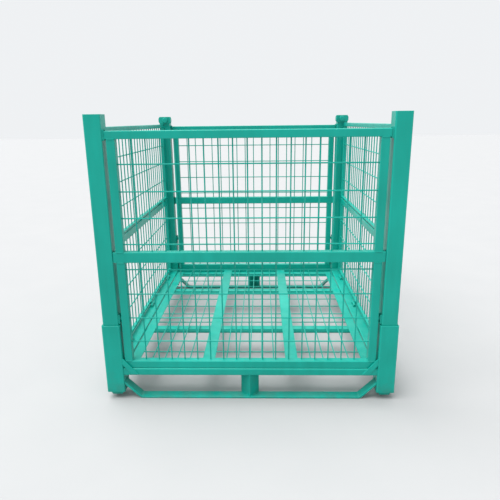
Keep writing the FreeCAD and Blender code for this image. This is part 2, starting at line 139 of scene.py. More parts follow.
class Workpiece:
    """One finished mesh, put together from bars, plates, rods, wires and weld beads."""

    def __init__(self, name: str) -> None:
        """Starts an empty piece.

        Args:
            name: Name of the piece.
        """
        self.name = name
        self.bm = bmesh.new()
        self.bm.faces.layers.float.new(EDGE_LAYER)

    def absorb(self, part: bmesh.types.BMesh) -> None:
        """Adds a finished part to the piece and frees it.

        Args:
            part: The part, which can't be used afterwards.
        """
        bmesh.ops.recalc_face_normals(part, faces=part.faces[:])
        scratch = bpy.data.meshes.new("part")
        part.to_mesh(scratch)
        part.free()
        self.bm.from_mesh(scratch)
        bpy.data.meshes.remove(scratch)

    @staticmethod
    def new_part() -> bmesh.types.BMesh:
        """Empty part that carries the edge layer.

        Returns:
            The part.
        """
        part = bmesh.new()
        part.faces.layers.float.new(EDGE_LAYER)
        return part

    @staticmethod
    def ease_edges(part: bmesh.types.BMesh, edges: list[bmesh.types.BMEdge], size: float,
                   steps: int = 1) -> None:
        """Rounds edges over and marks the new faces as edges of the metal.

        Args:
            part: The part that the edges belong to.
            edges: The edges to round over.
            size: How far back the rounding starts.
            steps: Number of steps in each rounded edge.
        """
        layer = part.faces.layers.float[EDGE_LAYER]
        made = bmesh.ops.bevel(part, geom=edges, offset=size, segments=steps, affect="EDGES",
                               profile=0.5, material=-1, clamp_overlap=True)
        for face in made["faces"]:
            face[layer] = 1.0

    def tube(self, box: Box, axis: Axis, wall: float, radius: float) -> None:
        """Adds an open square tube with rounded corners that fills a box.

        Args:
            box: The tube's outside.
            axis: The axis that the tube runs along.
            wall: Thickness of the metal.
            radius: Outside corner radius.
        """
        part = self.new_part()
        layer = part.faces.layers.float[EDGE_LAYER]
        u, v = [i for i in range(3) if i != axis.value]
        start = box.low[axis.value]
        ring = [(box.low[u], box.low[v]), (box.high[u], box.low[v]),
                (box.high[u], box.high[v]), (box.low[u], box.high[v])]
        part.faces.new([part.verts.new(placed(axis, start, a, b)) for a, b in ring])
        bmesh.ops.bevel(part, geom=part.verts[:], offset=radius, segments=ARC_STEPS,
                        affect="VERTICES", profile=0.5, material=-1)
        rim = bmesh.ops.inset_region(part, faces=part.faces[:], thickness=wall,
                                     use_even_offset=True, use_boundary=True)["faces"]
        hole = [face for face in part.faces if face not in rim]
        bmesh.ops.delete(part, geom=hole, context="FACES")
        grown = bmesh.ops.extrude_face_region(part, geom=part.faces[:])["geom"]
        length = box.high[axis.value] - start
        tips = [item for item in grown if isinstance(item, bmesh.types.BMVert)]
        bmesh.ops.translate(part, verts=tips, vec=placed(axis, length, 0.0, 0.0))
        bmesh.ops.recalc_face_normals(part, faces=part.faces[:])
        # Rounded corners get 0.6 on the edge layer, which the paint shows as a painted highlight.
        for face in part.faces:
            across = max(abs(value) for value in face.normal)
            face[layer] = 0.0 if across > 0.99 else 0.6
        ends = [face for face in part.faces if abs(face.normal[axis.value]) > 0.9]
        corners = {edge for face in ends for edge in face.edges
                   if any(other not in ends for other in edge.link_faces)}
        self.ease_edges(part, list(corners), RIM)
        self.absorb(part)

    def plate(self, outline: Sequence[tuple[float, float]], axis: Axis, span: Sequence[float],
              ease: float = RIM, corner: float = 0.0, steps: int = 1) -> None:
        """Adds a flat plate cut to an outline.

        Args:
            outline: Corner points across the axis.
            axis: The axis that the plate's thickness lies along.
            span: The plate's two faces along that axis.
            ease: How far the sharp edges are rounded over.
            corner: Radius of the outline's corners.
            steps: Number of steps in each rounded edge.
        """
        part = self.new_part()
        face = part.faces.new([part.verts.new(placed(axis, min(span), a, b)) for a, b in outline])
        if corner > 0.0:
            bmesh.ops.bevel(part, geom=list(face.verts), offset=corner, segments=2 * ARC_STEPS,
                            affect="VERTICES", profile=0.5, material=-1)
        grown = bmesh.ops.extrude_face_region(part, geom=part.faces[:])["geom"]
        tips = [item for item in grown if isinstance(item, bmesh.types.BMVert)]
        depth = max(span) - min(span)
        bmesh.ops.translate(part, verts=tips, vec=placed(axis, depth, 0.0, 0.0))
        bmesh.ops.recalc_face_normals(part, faces=part.faces[:])
        sharp = [edge for edge in part.edges if edge.calc_face_angle(0.0) > SHARP_ANGLE]
        self.ease_edges(part, sharp, ease, steps)
        self.absorb(part)

    def block(self, box: Box, ease: float = RIM, steps: int = 1) -> None:
        """Adds a solid rectangular bar with slightly rounded edges.

        Args:
            box: Outside of the bar.
            ease: How far the edges are rounded over.
            steps: Number of steps in each rounded edge.
        """
        low, high = box.low, box.high
        outline = [(low.x, low.y), (high.x, low.y), (high.x, high.y), (low.x, high.y)]
        self.plate(outline, Axis.Z, (low.z, high.z), ease, steps=steps)

    def rod(self, start: Vector, end: Vector, radius: float, sides: int = 24,
            ease: float = 0.0, steps: int = 1) -> None:
        """Adds a round bar.

        Args:
            start: Middle of the first end face.
            end: Middle of the second end face.
            radius: Radius of the bar.
            sides: Number of flats round the bar.
            ease: How far the end edges are rounded over, or 0 for none.
            steps: Number of steps in each rounded edge.
        """
        part = self.new_part()
        run = end - start
        turn = run.to_track_quat("Z", "Y").to_matrix().to_4x4()
        bmesh.ops.create_cone(part, cap_ends=True, segments=sides, radius1=radius, radius2=radius,
                              depth=run.length, matrix=Matrix.Translation((start + end) / 2) @ turn)
        if ease > 0.0:
            caps = [face for face in part.faces if len(face.verts) == sides]
            self.ease_edges(part, [edge for cap in caps for edge in cap.edges], ease, steps)
        self.absorb(part)

    def bead(self, start: Vector, end: Vector, radius: float = 0.0022) -> None:
        """Adds a rippled weld bead along a straight joint.

        Args:
            start: One end of the joint.
            end: The other end of the joint.
            radius: Radius of the bead, half of which sinks into the metal.
        """
        part = self.new_part()
        run = end - start
        turn = run.to_track_quat("Z", "Y").to_matrix().to_4x4()
        count = max(4, round(run.length / (BEAD_PITCH * radius)))
        bmesh.ops.create_circle(part, cap_ends=True, segments=BEAD_SIDES, radius=radius * BEAD_TIP,
                                matrix=Matrix.Translation(start) @ turn)
        ring = part.faces[:]
        scale = BEAD_TIP
        for step in range(1, count + 1):
            grown = bmesh.ops.extrude_face_region(part, geom=ring)["geom"]
            old = ring
            ring = [item for item in grown if isinstance(item, bmesh.types.BMFace)]
            bmesh.ops.delete(part, geom=[face for face in old if face.is_valid and step > 1],
                             context="FACES_ONLY")
            verts = [item for item in grown if isinstance(item, bmesh.types.BMVert)]
            bmesh.ops.translate(part, verts=verts, vec=run / count)
            wanted = BEAD_TIP if step == count else 1.0 - BEAD_RIPPLE * (step % 2)
            centre = start + run * (step / count)
            bmesh.ops.scale(part, verts=verts, vec=Vector((wanted / scale,) * 3),
                            space=Matrix.Translation(-centre))
            scale = wanted
        self.absorb(part)

    def nugget(self, point: Vector, radius: float) -> None:
        """Adds a small spot-weld lump.

        Args:
            point: Middle of the lump.
            radius: Radius of the lump.
        """
        part = self.new_part()
        bmesh.ops.create_icosphere(part, subdivisions=1, radius=radius,
                                   matrix=Matrix.Translation(point))
        self.absorb(part)

    def finish(self, body: str, finish: "Enamel", *nodes: str) -> bpy.types.Object:
        """Turns the piece into an object that rides on a body.

        Args:
            body: The body it moves with.
            finish: The paint it wears.
            nodes: The nodes that it stands for.

        Returns:
            The finished object.
        """
        mesh = bpy.data.meshes.new(self.name)
        self.bm.to_mesh(mesh)
        self.bm.free()
        for polygon in mesh.polygons:
            polygon.use_smooth = True
        mesh.set_sharp_from_angle(angle=SHARP_ANGLE)
        piece = bpy.data.objects.new(self.name, mesh)
        bpy.context.scene.collection.objects.link(piece)
        mesh.materials.append(finish.material())
        even = piece.modifiers.new("even_normals", "WEIGHTED_NORMAL")
        even.mode = "FACE_AREA"
        even.keep_sharp = True
        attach(piece, body)
        if nodes:
            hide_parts(*nodes)
        LOG.info("%s: %d faces on %s", self.name, len(mesh.polygons), body)
        return piece


class NodeKit:
    """Short way to add linked nodes to a node tree."""

    def __init__(self, tree: bpy.types.NodeTree) -> None:
        """Works on the given tree."""
        self.tree = tree

    def add(self, kind: str, inputs: dict[int | str, object] | None = None,
            **settings: object) -> bpy.types.Node:
        """Adds a node.

        Args:
            kind: The node's type name, without the leading ShaderNode.
            inputs: Values or sockets for its inputs.
            settings: Properties of the node.

        Returns:
            The new node.
        """
        node = self.tree.nodes.new("ShaderNode" + kind)
        for key, value in settings.items():
            setattr(node, key, value)
        for key, value in (inputs or {}).items():
            if isinstance(value, bpy.types.NodeSocket):
                self.tree.links.new(value, node.inputs[key])
            else:
                node.inputs[key].default_value = value
        return node

    def math(self, operation: str, first: object, second: object = 0.0) -> bpy.types.NodeSocket:
        """Adds a Math node and returns its result."""
        return self.add("Math", {0: first, 1: second}, operation=operation).outputs[0]

    def mix(self, share: object, first: object, second: object) -> bpy.types.NodeSocket:
        """Adds a colour mix.

        Args:
            share: How much of the second colour shows.
            first: Colour or socket that shows at a share of 0.
            second: Colour or socket that shows at a share of 1.

        Returns:
            The mixed colour's socket.
        """
        node = self.add("Mix", {"Factor": share}, data_type="RGBA")
        for index, value in ((6, first), (7, second)):
            if isinstance(value, bpy.types.NodeSocket):
                self.tree.links.new(value, node.inputs[index])
            else:
                node.inputs[index].default_value = value
        return node.outputs[2]

    def ramp(self, value: object, low: float, high: float, to_low: float = 0.0,
             to_high: float = 1.0) -> bpy.types.NodeSocket:
        """Adds a clamped Map Range node and returns its result."""
        inputs = {"Value": value, "From Min": low, "From Max": high, "To Min": to_low,
                  "To Max": to_high}
        return self.add("MapRange", inputs).outputs["Result"]


class PaintEffects:
    """Shader groups shared by every painted finish, each built once."""

    _made: dict[str, bpy.types.NodeTree] = {}

    @classmethod
    def _start(cls, name: str, inputs: dict[str, tuple[str, object]],
               outputs: dict[str, str]) -> tuple[bpy.types.NodeTree, NodeKit, bpy.types.Node]:
        """Makes an empty group with its named sockets.

        Args:
            name: Name of the group.
            inputs: Socket type and first value of each input.
            outputs: Socket type of each output.

        Returns:
            The group's tree, a kit that works on it, and its input node.
        """
        tree = bpy.data.node_groups.new(name, "ShaderNodeTree")
        for label, (kind, value) in inputs.items():
            socket = tree.interface.new_socket(label, in_out="INPUT", socket_type=kind)
            socket.default_value = value
        for label, kind in outputs.items():
            tree.interface.new_socket(label, in_out="OUTPUT", socket_type=kind)
        source = tree.nodes.new("NodeGroupInput")
        cls._made[name] = tree
        return tree, NodeKit(tree), source

    @staticmethod
    def _end(tree: bpy.types.NodeTree, results: dict[str, bpy.types.NodeSocket]) -> None:
        """Links the group's results.

        Args:
            tree: The group's tree.
            results: The socket that feeds each named output.
        """
        sink = tree.nodes.new("NodeGroupOutput")
        for label, socket in results.items():
            tree.links.new(socket, sink.inputs[label])

    @classmethod
    def spray_tone(cls) -> bpy.types.NodeTree:
        """Slow drift of colour and gloss left by spraying by hand.

        Returns:
            The group, built the first time it is asked for.
        """
        name = "spray_tone"
        if name in cls._made:
            return cls._made[name]
        colour = "NodeSocketColor"
        tree, kit, source = cls._start(
            name,
            {"Thin": (colour, (0.5, 0.5, 0.5, 1.0)), "Full": (colour, (0.5, 0.5, 0.5, 1.0)),
             "Cloud Size": ("NodeSocketFloat", 3.0)},
            {"Color": colour, "Share": "NodeSocketFloat"})
        place = kit.add("TexCoord").outputs["Object"]
        cloud = kit.add("TexNoise", {"Vector": place, "Scale": source.outputs["Cloud Size"],
                                     "Detail": 3.0, "Roughness": 0.55}).outputs[0]
        stretch = kit.add("Mapping", {"Vector": place, "Scale": (1.0, 1.0, 0.18)}).outputs[0]
        streak = kit.add("TexNoise", {"Vector": stretch, "Scale": 34.0, "Detail": 2.0}).outputs[0]
        clouds = kit.math("MULTIPLY", cloud, 0.72)
        blend = kit.math("ADD", clouds, kit.math("MULTIPLY", streak, 0.28))
        share = kit.ramp(blend, 0.34, 0.66)
        tone = kit.mix(share, source.outputs["Thin"], source.outputs["Full"])
        cls._end(tree, {"Color": tone, "Share": share})
        return tree

    @classmethod
    def edge_rub(cls) -> bpy.types.NodeTree:
        """Painted highlight on the edges and rounded corners of the metal, partly paint worn thin
        there; chipped paint on the edges, and small knocks elsewhere.

        Returns:
            The group, built the first time it is asked for.
        """
        name = "edge_rub"
        if name in cls._made:
            return cls._made[name]
        number = "NodeSocketFloat"
        tree, kit, source = cls._start(
            name, {"Edge Chips": (number, 0.4), "Knocks": (number, 0.1)},
            {"Rub": number, "Chip": number})
        place = kit.add("TexCoord").outputs["Object"]
        edge = kit.add("Attribute", attribute_name=EDGE_LAYER).outputs["Fac"]
        grit = kit.add("TexNoise", {"Vector": place, "Scale": 95.0, "Detail": 4.0,
                                    "Roughness": 0.7}).outputs[0]
        patch = kit.add("TexNoise", {"Vector": place, "Scale": 7.0, "Detail": 1.0}).outputs[0]
        pull = kit.math("MULTIPLY", kit.ramp(patch, 0.45, 0.7), source.outputs["Edge Chips"])
        limit = kit.math("SUBTRACT", 0.78, kit.math("MULTIPLY", pull, 0.3))
        chipped = kit.math("MULTIPLY", kit.math("GREATER_THAN", grit, limit), edge)
        fleck = kit.add("TexVoronoi", {"Vector": place, "Scale": 16.0}).outputs["Distance"]
        near = kit.ramp(fleck, 0.0, 0.11, 1.0, 0.0)
        spot = kit.math("GREATER_THAN", kit.math("MULTIPLY", near, grit), 0.42)
        knock = kit.math("MULTIPLY", spot, source.outputs["Knocks"])
        chip = kit.math("MAXIMUM", chipped, knock)
        # Lightening on edges and rounded corners: a painted highlight, partly paint worn thin.
        rub_highlight = kit.math("MULTIPLY", edge, kit.ramp(grit, 0.3, 0.7, 0.4, 1.0))
        cls._end(tree, {"Rub": rub_highlight, "Chip": chip})
        return tree

    @classmethod
    def settled_dust(cls) -> bpy.types.NodeTree:
        """Thin dust on faces that look upwards, and dirt near the ground.

        Returns:
            The group, built the first time it is asked for.
        """
        name = "settled_dust"
        if name in cls._made:
            return cls._made[name]
        number = "NodeSocketFloat"
        tree, kit, source = cls._start(
            name, {"Dust": (number, 0.2), "Ground Dirt": (number, 0.2)},
            {"Dust": number, "Dirt": number})
        coordinates = kit.add("TexCoord")
        height = kit.add("SeparateXYZ", {0: coordinates.outputs["Object"]}).outputs[2]
        up = kit.add("SeparateXYZ", {0: coordinates.outputs["Normal"]}).outputs[2]
        cloud = kit.add("TexNoise", {"Vector": coordinates.outputs["Object"], "Scale": 22.0,
                                     "Detail": 6.0, "Roughness": 0.65}).outputs[0]
        lying = kit.math("MULTIPLY", kit.ramp(up, 0.55, 0.95), kit.ramp(cloud, 0.35, 0.75))
        dust = kit.math("MULTIPLY", lying, source.outputs["Dust"])
        low = kit.math("MULTIPLY", kit.ramp(height, 0.0, 0.13, 1.0, 0.0), kit.ramp(cloud, 0.4, 0.7))
        dirt = kit.math("MULTIPLY", low, source.outputs["Ground Dirt"])
        cls._end(tree, {"Dust": dust, "Dirt": dirt})
        return tree

    @classmethod
    def sprayed_skin(cls) -> bpy.types.NodeTree:
        """Height of the fine orange-peel skin, the rolled metal under it and sagging runs.

        Returns:
            The group, built the first time it is asked for.
        """
        name = "sprayed_skin"
        if name in cls._made:
            return cls._made[name]
        number = "NodeSocketFloat"
        tree, kit, source = cls._start(
            name, {"Peel": (number, 1.0), "Waves": (number, 1.0)}, {"Height": number})
        place = kit.add("TexCoord").outputs["Object"]
        peel = kit.add("TexNoise", {"Vector": place, "Scale": 420.0, "Detail": 2.0}).outputs[0]
        wave = kit.add("TexNoise", {"Vector": place, "Scale": 14.0, "Detail": 2.0}).outputs[0]
        fine = kit.math("MULTIPLY", peel, source.outputs["Peel"])
        broad = kit.math("MULTIPLY", kit.math("MULTIPLY", wave, 9.0), source.outputs["Waves"])
        cls._end(tree, {"Height": kit.math("ADD", fine, broad)})
        return tree


@dataclass(frozen=True)
class Enamel:
    """Sprayed teal-green enamel on steel, with the worn chips, knocks and painted edge highlight of
    one kind of piece.
    """

    slot: str
    thin: tuple[float, float, float] = (0.003, 0.365, 0.29)
    full: tuple[float, float, float] = (0.0015, 0.288, 0.225)
    # Lighter teal laid on edges and rounded corners: a painted highlight, partly paint worn thin.
    rub_highlight_colour: tuple[float, float, float] = (0.02, 0.53, 0.41)
    steel: tuple[float, float, float] = (0.09, 0.1, 0.095)
    dust_colour: tuple[float, float, float] = (0.12, 0.44, 0.36)
    dirt_colour: tuple[float, float, float] = (0.06, 0.1, 0.085)
    roughness: float = 0.34
    cloud_size: float = 3.0
    edge_chips: float = 0.35
    knocks: float = 0.25
    dust: float = 0.18
    ground_dirt: float = 0.15
    peel: float = 1.0
    waves: float = 1.0
    coat: float = 0.1
    coat_roughness: float = 0.14
    specular: float = 0.2
    bump_strength: float = 0.12
    bump_distance: float = 0.0006
    rub_share: float = 0.35

    def _group(self, kit: NodeKit, tree: bpy.types.NodeTree,
               inputs: dict[int | str, object]) -> bpy.types.Node:
        """Places one of the shared groups with this finish's own values.

        Args:
            tree: The shared group.
            inputs: This finish's values for the group's inputs.

        Returns:
            The placed group node.
        """
        node = kit.add("Group", node_tree=tree)
        for key, value in inputs.items():
            node.inputs[key].default_value = value
        return node

    def material(self) -> bpy.types.Material:
        """Material of this finish.

        Returns:
            The material, built the first time it is asked for.
        """
        known = bpy.data.materials.get(self.slot + "_enamel")
        if known is not None:
            return known
        made = bpy.data.materials.new(self.slot + "_enamel")
        made.use_nodes = True
        tree = made.node_tree
        kit = NodeKit(tree)
        shader = tree.nodes["Principled BSDF"]
        tone = self._group(kit, PaintEffects.spray_tone(), {
            "Thin": (*self.thin, 1.0), "Full": (*self.full, 1.0), "Cloud Size": self.cloud_size})
        wear_and_highlight = self._group(kit, PaintEffects.edge_rub(), {
            "Edge Chips": self.edge_chips, "Knocks": self.knocks})
        dirt = self._group(kit, PaintEffects.settled_dust(), {
            "Dust": self.dust, "Ground Dirt": self.ground_dirt})
        skin = self._group(kit, PaintEffects.sprayed_skin(), {
            "Peel": self.peel, "Waves": self.waves})
        # Edges and rounded corners lightened towards the lighter teal: painted highlight, partly
        # paint worn thin.
        rub_highlight = kit.math("MULTIPLY", wear_and_highlight.outputs["Rub"], self.rub_share)
        colour = kit.mix(rub_highlight, tone.outputs["Color"], (*self.rub_highlight_colour, 1.0))
        colour = kit.mix(wear_and_highlight.outputs["Chip"], colour, (*self.steel, 1.0))
        colour = kit.mix(dirt.outputs["Dirt"], colour, (*self.dirt_colour, 1.0))
        colour = kit.mix(dirt.outputs["Dust"], colour, (*self.dust_colour, 1.0))
        gloss = kit.ramp(tone.outputs["Share"], 0.0, 1.0, self.roughness - 0.05,
                         self.roughness + 0.07)
        gloss = kit.math("ADD", gloss, kit.math("MULTIPLY", dirt.outputs["Dust"], 0.5))
        gloss = kit.math("ADD", gloss, kit.math("MULTIPLY", wear_and_highlight.outputs["Chip"], 0.15))
        bump = kit.add("Bump", {"Height": skin.outputs["Height"], "Strength": self.bump_strength,
                                "Distance": self.bump_distance})
        tree.links.new(colour, shader.inputs["Base Color"])
        tree.links.new(gloss, shader.inputs["Roughness"])
        tree.links.new(bump.outputs["Normal"], shader.inputs["Normal"])
        shader.inputs["Coat Weight"].default_value = self.coat
        shader.inputs["Coat Roughness"].default_value = self.coat_roughness
        shader.inputs["Specular IOR Level"].default_value = self.specular
        return made


BASE_PAINT = Enamel("base_paint", edge_chips=0.6, knocks=0.4, ground_dirt=0.45, dust=0.2)
POST_PAINT = Enamel("post_paint", edge_chips=0.35, knocks=0.2, cloud_size=2.2)
GATE_PAINT = Enamel("gate_paint", edge_chips=0.3, knocks=0.15)
WALL_PAINT = Enamel("wall_paint", edge_chips=0.3, knocks=0.15)
FLOOR_PAINT = Enamel("floor_paint", edge_chips=0.5, knocks=0.5, dust=0.3)
WIRE_PAINT = Enamel("wire_paint", edge_chips=0.0, knocks=0.1, cloud_size=5.0, dust=0.1, peel=0.6)
FITTING_PAINT = Enamel("fitting_paint", edge_chips=0.8, knocks=0.4, roughness=0.38)
FINISHES = {finish.slot: finish for finish in (
    BASE_PAINT, POST_PAINT, GATE_PAINT, WALL_PAINT, FLOOR_PAINT, WIRE_PAINT, FITTING_PAINT)}


@dataclass
class WireSheet:
    """Flat sheet of round wires welded where they cross."""

    wire: float = 0.0025
    layer: float = 0.00225
    sides: int = 8
    lump: float = 0.002
    lump_offset: float = 0.0013

    def lay(self, piece: Workpiece, normal: Axis, plane: float, spans: dict[Axis, Sequence[float]],
            places: dict[Axis, Sequence[float]]) -> None:
        """Adds the sheet's wires and spot welds to a piece.

        Args:
            piece: The piece to add to.
            normal: The axis that the sheet faces.
            plane: The middle of the sheet along that axis.
            spans: How far the sheet reaches along its two own axes, in the order lower layer,
                upper layer.
            places: Where the crossing wires stand on each of those axes.
        """
        one, other = spans
        for run, cross, layer in ((one, other, -1), (other, one, 1)):
            level = plane + layer * self.layer
            for place in places[cross]:
                tips = []
                for reach in spans[run]:
                    values = [0.0, 0.0, 0.0]
                    values[normal.value] = level
                    values[run.value] = reach
                    values[cross.value] = place
                    tips.append(Vector(values))
                piece.rod(tips[0], tips[1], self.wire, self.sides)
        for first in places[one]:
            for second in places[other]:
                values = [0.0, 0.0, 0.0]
                values[normal.value] = plane
                values[one.value] = first
                values[other.value] = second
                for offset in (-self.lump_offset, self.lump_offset):
                    point = Vector(values)
                    point[one.value] += offset
                    point[other.value] += offset
                    piece.nugget(point, self.lump)


def spaced(start: float, stop: float, pitch: float) -> list[float]:
    """Wire places inside a span: equal gaps as close to the pitch as the span allows.

    Args:
        start: One end of the span.
        stop: The other end of the span.
        pitch: The gap that is aimed at.

    Returns:
        The places, without the two ends.
    """
    gaps = round((stop - start) / pitch)
    return [start + (stop - start) * i / gaps for i in range(1, gaps)]


def rungs(start: float, stop: float, datum: float = 0.911, pitch: float = 0.096,
          clear: float = 0.01) -> list[float]:
    """Heights of the level wires inside a span, on the one ladder that both gates share.

    Args:
        start: Bottom of the span.
        stop: Top of the span.
        datum: Height of one rung of the ladder.
        pitch: Distance between rungs.
        clear: Least distance from a rung to either end.

    Returns:
        The heights.
    """
    first = math.ceil((start + clear - datum) / pitch)
    last = math.floor((stop - clear - datum) / pitch)
    return [datum + pitch * i for i in range(first, last + 1)]


@dataclass
class BaseFrame:
    """Welded base: corner sleeves, rails, skids, supports, braces and bearers."""

    sleeve_wall: float = 0.004
    sleeve_radius: float = 0.006
    rail_wall: float = 0.003
    rail_radius: float = 0.005
    bearer_wall: float = 0.002
    bearer_radius: float = 0.003
    bearer_width: float = 0.04
    bearer_places: tuple[float, ...] = (-0.569, -0.255, 0.255, 0.569)
    skid_thick: float = 0.008
    skid_bend: float = 0.43
    bend_radius: float = 0.012
    angle_thick: float = 0.005
    brace_foot: float = 0.432
    brace_rise: float = 0.068
    brace_band: float = 0.03

    def build(self) -> None:
        """Builds the sleeves, rails, skids, supports, braces and bearers of the base."""
        for end in End:
            for side in Side:
                self._sleeve(side, end)
            self._end_rail(end)
            self._skid(end)
        for side in Side:
            self._side_rail(side)
        self._supports()
        self._braces()
        self._bearers()

    def _sleeve(self, side: Side, end: End) -> None:
        """Square corner sleeve with the welds to its rails.

        Args:
            side: Left or right half.
            end: Front or back end.
        """
        node = f"sleeve_{end.word}_{side.word}"
        box = Box.of_node(node)
        piece = Workpiece(f"corner_sleeve_{end.word}_{side.word}")
        piece.tube(box, Axis.Z, self.sleeve_wall, self.sleeve_radius)
        rail = Box.of_node(f"base_rail_{end.word}")
        x = box.middle.x - side.value * (box.high.x - box.low.x) / 2
        for y in (rail.low.y + 0.001, rail.high.y - 0.001):
            piece.bead(Vector((x, y, rail.low.z + 0.004)), Vector((x, y, rail.high.z - 0.004)))
        rim = (rail.low.y + 0.005, rail.high.y - 0.005)
        for z in (rail.low.z + 0.0005, rail.high.z - 0.0005):
            piece.bead(Vector((x, rim[0], z)), Vector((x, rim[1], z)))
        rail = Box.of_node(f"base_rail_{side.word}")
        y = box.middle.y - end.value * (box.high.y - box.low.y) / 2
        for x in (rail.low.x + 0.001, rail.high.x - 0.001):
            piece.bead(Vector((x, y, rail.low.z + 0.004)), Vector((x, y, rail.high.z - 0.004)))
        for z in (rail.low.z + 0.0005, rail.high.z - 0.0005):
            piece.bead(Vector((rail.low.x + 0.005, y, z)), Vector((rail.high.x - 0.005, y, z)))
        piece.finish("base", BASE_PAINT, node)

    def _end_rail(self, end: End) -> None:
        """Front or back rail.

        Args:
            end: Front or back end.
        """
        node = f"base_rail_{end.word}"
        piece = Workpiece(f"end_rail_{end.word}")
        piece.tube(Box.of_node(node), Axis.X, self.rail_wall, self.rail_radius)
        piece.finish("base", BASE_PAINT, node)

    def _side_rail(self, side: Side) -> None:
        """Left or right rail.

        Args:
            side: Left or right half.
        """
        node = f"base_rail_{side.word}"
        piece = Workpiece(f"side_rail_{side.word}")
        piece.tube(Box.of_node(node), Axis.Y, self.rail_wall, self.rail_radius)
        piece.finish("base", BASE_PAINT, node)

    def _skid(self, end: End) -> None:
        """Ground bar bent up at both ends, with its welds to the sleeves.

        Args:
            end: Front or back end.
        """
        node = f"skid_{end.word}"
        box = Box.of_node(node)
        piece = Workpiece(f"skid_bar_{end.word}")
        part = Workpiece.new_part()
        inner = self.skid_bend - self.skid_thick * HALF_BEND
        rise = box.high.x - self.skid_bend
        top = rise + self.skid_thick * math.sqrt(2.0)
        outline = [(-box.high.x, rise), (-self.skid_bend, 0.0), (self.skid_bend, 0.0),
                   (box.high.x, rise), (box.high.x, top), (inner, self.skid_thick),
                   (-inner, self.skid_thick), (-box.high.x, top)]
        part.faces.new([part.verts.new((x, box.low.y, z)) for x, z in outline])
        under = [vert for vert in part.verts if vert.co.z < 1e-6]
        over = [vert for vert in part.verts if abs(vert.co.z - self.skid_thick) < 1e-6]
        outer_bend = self.bend_radius + self.skid_thick
        for bends, radius in ((under, outer_bend), (over, self.bend_radius)):
            bmesh.ops.bevel(part, geom=bends, offset=radius * HALF_BEND,
                            segments=ARC_STEPS + 1, affect="VERTICES", profile=0.5, material=-1)
        grown = bmesh.ops.extrude_face_region(part, geom=part.faces[:])["geom"]
        tips = [item for item in grown if isinstance(item, bmesh.types.BMVert)]
        bmesh.ops.translate(part, verts=tips, vec=(0.0, box.high.y - box.low.y, 0.0))
        bmesh.ops.recalc_face_normals(part, faces=part.faces[:])
        sharp = [edge for edge in part.edges if edge.calc_face_angle(0.0) > SHARP_ANGLE]
        Workpiece.ease_edges(part, sharp, 0.001)
        piece.absorb(part)
        for side in Side:
            x = side.value * box.high.x
            for z in (rise, top):
                piece.bead(Vector((x, box.low.y + 0.002, z)), Vector((x, box.high.y - 0.002, z)),
                           0.0026)
        piece.finish("base", BASE_PAINT, node)

    def _supports(self) -> None:
        """Angle irons between skid and end rail, corner outwards."""
        node = "centre_supports"
        box = Box.of_node(node)
        piece = Workpiece("centre_supports_angle")
        leg = box.high.x
        nib = self.angle_thick / math.sqrt(2.0)
        for end in End:
            tip = end.value * box.high.y
            outline = [(0.0, tip), (leg, tip - end.value * leg),
                       (leg - nib, tip - end.value * (leg + nib)), (0.0, tip - end.value * 2 * nib),
                       (nib - leg, tip - end.value * (leg + nib)), (-leg, tip - end.value * leg)]
            piece.plate(outline, Axis.Z, (box.low.z, box.high.z), 0.0008)
            for side in Side:
                for z in (box.low.z + 0.0005, box.high.z - 0.0005):
                    far = leg - 0.002
                    piece.bead(Vector((side.value * 0.002, tip - end.value * 0.002, z)),
                               Vector((side.value * far, tip - end.value * far, z)))
        piece.finish("base", BASE_PAINT, node)

    def _braces(self) -> None:
        """Slanted plates across the outer corners of sleeve and end rail."""
        node = "corner_braces"
        box = Box.of_node(node)
        piece = Workpiece("corner_brace_plates")
        low, high = box.low.z, box.high.z
        edge = box.high.x
        shift = (edge - self.brace_foot) * self.brace_band / self.brace_rise
        rail = Box.of_node("base_rail_back")
        for end in End:
            outer = end.value * box.high.y
            inner = end.value * rail.high.y
            for side in Side:
                s = side.value
                outline = [(s * self.brace_foot, low), (s * edge, high),
                           (s * edge, high - self.brace_band), (s * (self.brace_foot + shift), low)]
                piece.plate(outline, Axis.Y, (inner, outer), 0.0008)
                y = end.value * (rail.high.y + 0.002)
                piece.bead(Vector((s * edge, y, high - 0.002)),
                           Vector((s * edge, y, high - self.brace_band + 0.002)), 0.003)
                y = end.value * (rail.high.y + 0.0005)
                slope = (edge - self.brace_foot) / self.brace_rise
                rise = rail.high.z - 0.004 - low
                piece.bead(Vector((s * self.brace_foot, y, low)),
                           Vector((s * (self.brace_foot + slope * rise), y, low + rise)))
                piece.bead(Vector((s * (self.brace_foot + shift), y, low)),
                           Vector((s * self.brace_foot, y, low)))
        piece.finish("base", BASE_PAINT, node)

    def _bearers(self) -> None:
        """Hollow bearers under the floor."""
        node = "floor_bearers"
        box = Box.of_node(node)
        piece = Workpiece("floor_bearer_tubes")
        for place in self.bearer_places:
            y = (place - self.bearer_width / 2, place + self.bearer_width / 2)
            tube = Box.between((box.low.x, box.high.x), y, (box.low.z, box.high.z))
            piece.tube(tube, Axis.X, self.bearer_wall, self.bearer_radius)
            for side in Side:
                x = side.value * box.high.x
                piece.bead(Vector((x, y[0] + 0.003, box.high.z)),
                           Vector((x, y[1] - 0.003, box.high.z)))
        piece.finish("base", BASE_PAINT, node)


